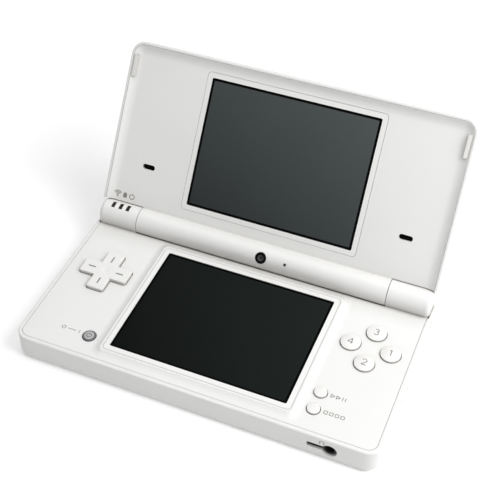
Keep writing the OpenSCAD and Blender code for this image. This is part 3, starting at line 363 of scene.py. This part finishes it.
def boardPaint():
    paint = Paint("circuitBoard")
    cell = paint.node("TexBrick", {"offset": 0.5, "squash": 1.0},
                      {"Vector": paint.place, "Color1": tone(board["cellDark"]),
                       "Color2": tone(board["cellLight"]), "Mortar": tone(board["trackGold"]),
                       "Scale": board["cells"], "Mortar Size": board["track"]})
    fine = paint.noise(board["fine"], 3.0)
    shade = paint.mix(fine, board["dark"], board["light"])
    return paint.finish(paint.mix(board["share"], cell, shade), board["rough"] + board["roughFine"] * fine,
                        fine, board["depth"])


ribbon = {"bands": 500.0, "soft": (0.4, 0.6), "dark": "#B87B2B", "light": "#D29C4D", "rough": 0.35,
          "roughBand": 0.1, "depth": 0.01}


def ribbonPaint():
    paint = Paint("ribbonCircuit")
    wave = paint.node("TexWave", {"wave_type": "BANDS", "bands_direction": "Y"},
                      {"Vector": paint.place, "Scale": ribbon["bands"], "Distortion": 0.0}, "Fac")
    return paint.finish(paint.mix(wave.fade(*ribbon["soft"]), ribbon["dark"], ribbon["light"]),
                        ribbon["rough"] + ribbon["roughBand"] * wave, wave, ribbon["depth"])


# the cameras' glass: rings of grey round a centre, each with the radius at which it starts
glass = {"ior": 1.12, "soft": 0.06, "dust": 3000.0, "rough": 0.12, "roughDust": 0.08, "depth": 0.001}
cameras = {
    "innerCameraGlass": {"at": (1.5, hinge["y"]), "centre": "#0C0C0C",
                         "rings": [(0.35, "#4A4B4A"), (1.2, "#080808")]},
    "outerCameraGlass": {"at": (54.0, -27.35), "centre": "#08090C",
                         "rings": [(0.9, "#1C1D20"), (1.5, "#0C0C0D"), (2.4, "#6F7173")]},
}


def cameraPaint(name):
    look = cameras[name]
    paint = Paint(name, IOR=glass["ior"])
    x, y = paint.shut()
    radius = spotDistance(x, y, look["at"])
    dust = paint.noise(glass["dust"])
    colour = look["centre"]
    for reach, shade in look["rings"]:
        colour = paint.mix(radius.step(reach, glass["soft"]), colour, shade)
    return paint.finish(colour, glass["rough"] + glass["roughDust"] * dust, dust, glass["depth"])


cone = {"ior": 1.1, "holes": 2600.0, "soft": (0.25, 0.5), "hole": "#020202", "web": "#0C0C0C",
        "rough": 0.7, "roughWeb": 0.15, "depth": 0.03}


def conePaint():  # the speaker behind its slot, with fine holes
    paint = Paint("speakerCone", IOR=cone["ior"])
    holes = paint.node("TexVoronoi", {"feature": "F1"}, {"Vector": paint.place, "Scale": cone["holes"]},
                       "Distance")
    mask = holes.fade(*cone["soft"])
    return paint.finish(paint.mix(mask, cone["hole"], cone["web"]), cone["rough"] - cone["roughWeb"] * mask,
                        mask, cone["depth"])


guide = {"ior": 1.25, "cloud": 700.0, "light": "#2E2B28", "dark": "#23211F", "rough": 0.25,
         "roughCloud": 0.1, "depth": 0.004, "edge": 0.1}


def guidePaint():
    paint = Paint("lightGuideSmoke", IOR=guide["ior"])
    cloud = paint.noise(guide["cloud"])
    return paint.finish(paint.mix(cloud, guide["light"], guide["dark"]),
                        guide["rough"] + guide["roughCloud"] * cloud, cloud, guide["depth"], guide["edge"])


finishes = [
    (plasticPaint("casingWhite"), ["lower_case", "base_top_cover", "battery_cover", "memory_card_door",
                                   "lid_outer_cover", "lid_inner_cover"]),
    (plasticPaint("keyWhite"), ["button_right", "button_bottom", "button_top", "button_left", "start_button",
                                "select_button", "shoulder_left", "shoulder_right", "volume_rocker",
                                "stylus"]),
    (padPaint(), ["dpad"]),
    (plasticPaint("screenBorderWhite"), ["touch_frame"]),
    (touchPaint(), ["touch_panel"]),
    (lensPaint(), ["upper_lens"]),
    (powerPaint(), ["power_button"]),
    (plasticPaint("bumperRubber"), ["lid_bumpers"]),
    (mattPaint("greyRubber"), ["dpad_pivot", "dpad_membrane", "button_membrane", "small_button_membrane"]),
    (mattPaint("blackPlastic"), ["headphone_socket", "charging_socket", "shoulder_switches",
                                 "volume_switch", "power_switch", "inner_camera_module",
                                 "outer_camera_module", "microphone"]),
    (mattPaint("sleeveGrey"), ["stylus_sleeve"]),
    (mattPaint("displayBack"), ["lower_display", "upper_display"]),
    (mattPaint("batteryWrap"), ["battery_pack"]),
    (steelPaint(), ["battery_cover_screws", "case_screws", "game_card_socket", "memory_card_socket",
                    "shoulder_springs", "hinge_clutch", "hinge_pin", "lid_screws", "lid_magnet"]),
    (boardPaint(), ["main_board", "wireless_board"]),
    (ribbonPaint(), ["display_ribbon"]),
    (conePaint(), ["speaker_left", "speaker_right"]),
    (guidePaint(), ["led_light_guide"]),
    (cameraPaint("innerCameraGlass"), ["inner_camera_lens"]),
    (cameraPaint("outerCameraGlass"), ["outer_camera_lens"]),
]
dressed = set()
for material, names in finishes:
    for name in names:
        mesh = nodes[name].data
        if not mesh.materials:
            mesh.materials.append(material)
        for slotAt in range(len(mesh.materials)):
            mesh.materials[slotAt] = material
        dressed.add(name)
print("materials set; nodes without one:", sorted(set(nodes) - dressed))

# printed marks are thin strokes of ink that follow the surface under them
inkStroke = {"proud": 0.018, "step": 0.22, "rounding": 1, "sameSpot": 1e-6}


def arc(cx, cy, radius, start, end, steps):
    turns = [math.radians(start + (end - start) * i / steps) for i in range(steps + 1)]
    return [(cx + radius * math.cos(a), cy + radius * math.sin(a)) for a in turns]


def refine(points):  # more points along a line, so that it can bend with the surface
    fine = [points[0]]
    for a, b in zip(points, points[1:]):
        count = max(1, math.ceil(math.dist(a, b) / inkStroke["step"]))
        fine += [(a[0] + (b[0] - a[0]) * i / count, a[1] + (b[1] - a[1]) * i / count)
                 for i in range(1, count + 1)]
    return fine


def deselect():
    for obj in bpy.context.selected_objects:
        obj.select_set(False)


def markMesh(name, strokes, width, surface):
    curve = bpy.data.curves.new(name, "CURVE")
    curve.dimensions = "3D"
    curve.bevel_depth = width / 2 * mm
    curve.bevel_resolution = inkStroke["rounding"]
    curve.use_fill_caps = True
    for stroke in strokes:
        points = refine(stroke)
        closed = math.dist(points[0], points[-1]) < inkStroke["sameSpot"]
        if closed:
            points = points[:-1]
        line = curve.splines.new("POLY")
        line.points.add(len(points) - 1)
        for point, (u, v) in zip(line.points, points):
            point.co = (u * mm, v * mm, 0, 1)
        line.use_cyclic_u = closed
    obj = bpy.data.objects.new(name, curve)
    bpy.context.scene.collection.objects.link(obj)
    deselect()
    obj.select_set(True)
    bpy.context.view_layer.objects.active = obj
    bpy.ops.object.convert(target="MESH")
    flat = inkStroke["proud"] / (width / 2)  # presses the round stroke down to the height of print
    for vertex in obj.data.vertices:
        u, v, h = vertex.co / mm
        vertex.co = surface(u, v, h * flat) * mm
    return obj


# the surfaces that are printed on; u runs to the right on each and v upwards
surfaces = {"deckTop": 11.0, "front": -37.45, "keyCrown": 12.0}
lidHollow = {"face": 12.6, "half": 62.98, "slope": 3.8, "deep": 1.3}  # its floor curves up towards the rim


def deckAt(x, y):
    return lambda u, v, h: Vector((x + u, y + v, surfaces["deckTop"] + h))


def domeAt(x, y, top):  # on a key's face, which is part of a sphere
    crown = surfaces["keyCrown"]
    return lambda u, v, h: Vector((x + u, y + v, top - crown + math.sqrt(crown ** 2 - u * u - v * v) + h))


def lidAt(x, y):  # on the lid's inner face, which looks down when the lid is shut
    def point(u, v, h):
        climb = max(0.0, abs(x + u) - lidHollow["half"]) / lidHollow["slope"]
        z = lidHollow["face"] - lidHollow["deep"] * climb ** 2 - h
        return (lidTurn @ (Vector((x + u, y - v, z)) * mm)) / mm
    return point


def frontAt(x, z):
    return lambda u, v, h: Vector((x + u, surfaces["front"] - h, z + v))


# the strokes of the marks, each a line of points in millimetres round the mark's own middle
digits = {
    "one": [[(-0.45, 0.75), (0.15, 1.3), (0.15, -1.3)]],
    "two": [arc(0, 0.55, 0.78, 165, -35, 14) + [(-0.85, -1.3), (0.9, -1.3)]],
    "three": [arc(-0.05, 0.65, 0.68, 150, -90, 14), arc(-0.05, -0.58, 0.78, 90, -150, 14)],
    "four": [[(0.45, -1.3), (0.45, 1.3), (-0.95, -0.55), (0.95, -0.55)]],
}
standby = [arc(0, 0, 1.0, 125, 415, 28), [(0, 0.25), (0, 1.25)]]
smallStandby = [[(u * 0.9, v * 0.9) for u, v in line] for line in standby]
arrows = [[(u, -0.7), (u, 0.7), (u + 1.3, 0), (u, -0.7)] for u in (0, 2.0)]
bars = [[(u, -0.7), (u, 0.7)] for u in (4.2, 5.2)]
squares = [[(u, -0.6), (u + 1.2, -0.6), (u + 1.2, 0.6), (u, 0.6), (u, -0.6)] for u in (0, 2, 4, 6)]
offToOn = [arc(0, 0, 0.7, 0, 360, 20), [(1.7, 0), (4.9, 0)], [(6.3, -0.7), (6.3, 0.7)]]
fan = [arc(0, -0.9, 0.2, 0, 360, 10)] + [arc(0, -0.9, radius, 42, 138, steps)
                                         for radius, steps in ((0.85, 10), (1.45, 12), (2.05, 14))]
cell = [[(u, -1.0), (u, top)] for u, top in ((-0.55, 0.7), (-0.2, 1.05), (0.2, 1.05), (0.55, 0.7))]
headphones = [arc(0, 0, 0.8, -15, 195, 16)] + [[(u, -0.15), (u, -0.7)] for u in (-0.8, 0.8, -0.6, 0.6)]

signRow = 23.7  # where the lid's three signs stand in a row
roundKeys = {"x": 52.3, "y": 5.5, "apart": 7.4, "top": 12.2, "width": 0.3}
roundKeyMarks = {"right": ("one", 1, 0), "bottom": ("two", 0, -1), "top": ("three", 0, 1),
                 "left": ("four", -1, 0)}
marks = {}
for side, (digit, right, up) in roundKeyMarks.items():
    keyX = roundKeys["x"] + right * roundKeys["apart"]
    keyY = roundKeys["y"] + up * roundKeys["apart"]
    marks["mark_button_" + side] = {"strokes": digits[digit], "width": roundKeys["width"], "ink": "inkGrey",
                                    "at": domeAt(keyX, keyY, roundKeys["top"]), "body": "button_" + side}
marks.update({
    "mark_power": {"strokes": smallStandby, "width": 0.28, "ink": "inkDark",
                   "at": domeAt(powerKey["x"], powerKey["y"], powerKey["top"]), "body": "power_button"},
    "mark_start": {"strokes": arrows + bars, "width": 0.3, "ink": "inkPale", "at": deckAt(46.2, -19.4),
                   "body": "base"},
    "mark_select": {"strokes": squares, "width": 0.28, "ink": "inkPale", "at": deckAt(46.2, -26.8),
                    "body": "base"},
    "mark_on_off": {"strokes": offToOn, "width": 0.28, "ink": "inkPale", "at": deckAt(-53.3, -27.0),
                    "body": "base"},
    "mark_wireless": {"strokes": fan, "width": 0.36, "ink": "inkBrown", "at": lidAt(-62.8, signRow),
                      "body": "lid"},
    "mark_charge": {"strokes": cell, "width": 0.46, "ink": "inkBrown", "at": lidAt(-59.6, signRow),
                    "body": "lid"},
    "mark_standby": {"strokes": standby, "width": 0.36, "ink": "inkBrown", "at": lidAt(-56.6, signRow),
                     "body": "lid"},
    "mark_headphones": {"strokes": headphones, "width": 0.3, "ink": "inkPale", "at": frontAt(49.2, 8.9),
                        "body": "base"},
})
inks = {ink: mattPaint(ink) for ink in ("inkGrey", "inkDark", "inkPale", "inkBrown")}
for markName, made in marks.items():
    mark = markMesh(markName, made["strokes"], made["width"], made["at"])
    mark.data.materials.append(inks[made["ink"]])
    body = made["body"]
    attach(mark, body)
print("marks drawn:", len(marks))

# the studio: floor, world, lamps and camera
white = "#FFFFFF"
# the floor's glow for the camera is painted light: the shade colour is its glow near the object, fading to
# white glow far out
floorLook = {"half": 4.0, "rough": 0.9, "dust": 3.0, "light": "#F2F2F2", "dark": "#F6F6F6",
             "shade": "#838383", "near": 150.0, "far": 500.0}
ambient = 0.31
lamps = {
    "sideLamp": {"at": (0.36, -0.01, 0.4), "size": 0.35, "power": 2.05},
    "topLamp": {"at": (-0.1, 0.1, 1.2), "size": 0.9, "power": 4.3},
}
# the photograph's viewing angle, from a camera fitted to its edges: degrees, millimetres and frame shares
view = {"azimuth": 23.638, "elevation": 42.957, "roll": -0.8525, "aside": 0.9754, "lift": -45.58,
        "away": 404.335, "lens": 78.29, "shift": (0.0477, -0.0715), "nearest": 0.01}


def floorPaint():
    paint = Paint("floorWhite", Roughness=floorLook["rough"])
    seen = paint.onView()
    plain = paint.mix(paint.noise(floorLook["dust"]), floorLook["light"], floorLook["dark"])
    x, y = paint.millimetres("X", "Y")
    away = (x * x + y * y).root().fade(floorLook["near"], floorLook["far"])
    lift = paint.mix(away, floorLook["shade"], white)  # painted light: the floor glows for the camera, faintly near the object so that its shadow stays, and white far out
    paint.put(paint.shader.inputs["Emission Color"], paint.mix(seen, "#000000", lift))
    paint.put(paint.shader.inputs["Emission Strength"], 1.0)
    return paint.finish(paint.mix(seen, plain, white))


def makeFloor():
    bpy.ops.mesh.primitive_plane_add(size=2 * floorLook["half"], location=(0, 0, 0))
    floor = bpy.context.object
    floor.name = "floor"
    floor.data.materials.append(floorPaint())


def makeWorld():
    world = bpy.data.worlds.new("studio")
    bpy.context.scene.world = world
    world.use_nodes = True
    world.node_tree.nodes.clear()
    graph = Graph(world.node_tree)
    light = graph.node("Background", None, {"Color": tone(white), "Strength": ambient})
    backdrop = graph.node("Background", None, {"Color": tone(white)})
    blend = graph.node("MixShader", None, {0: graph.onView(), 1: light, 2: backdrop})
    graph.node("OutputWorld", None, {"Surface": blend})


def makeLamps():
    for name, lamp in lamps.items():
        data = bpy.data.lights.new(name, "AREA")
        data.energy = lamp["power"]
        data.size = lamp["size"]
        obj = bpy.data.objects.new(name, data)
        bpy.context.scene.collection.objects.link(obj)
        obj.location = lamp["at"]
        obj.rotation_euler = (-Vector(lamp["at"])).to_track_quat("-Z", "Y").to_euler()


def makeCamera():
    a, e, roll = (math.radians(view[key]) for key in ("azimuth", "elevation", "roll"))
    back = Vector((math.sin(a) * math.cos(e), -math.cos(a) * math.cos(e), math.sin(e)))
    level = Vector((math.cos(a), math.sin(a), 0))
    upright = back.cross(level)
    right = math.cos(roll) * level + math.sin(roll) * upright
    up = math.cos(roll) * upright - math.sin(roll) * level
    at = (view["away"] * back - view["aside"] * right - view["lift"] * up) * mm
    data = bpy.data.cameras.new("photoCamera")
    data.lens = view["lens"]
    data.shift_x, data.shift_y = view["shift"]
    data.clip_start = view["nearest"]
    camera = bpy.data.objects.new("photoCamera", data)
    bpy.context.scene.collection.objects.link(camera)
    turn = Matrix((right, up, back)).transposed()
    camera.matrix_world = Matrix.Translation(at) @ turn.to_4x4()
    bpy.context.scene.camera = camera


makeFloor()
makeWorld()
makeLamps()
makeCamera()
bpy.context.scene.view_settings.view_transform = "Standard"
print("studio ready")
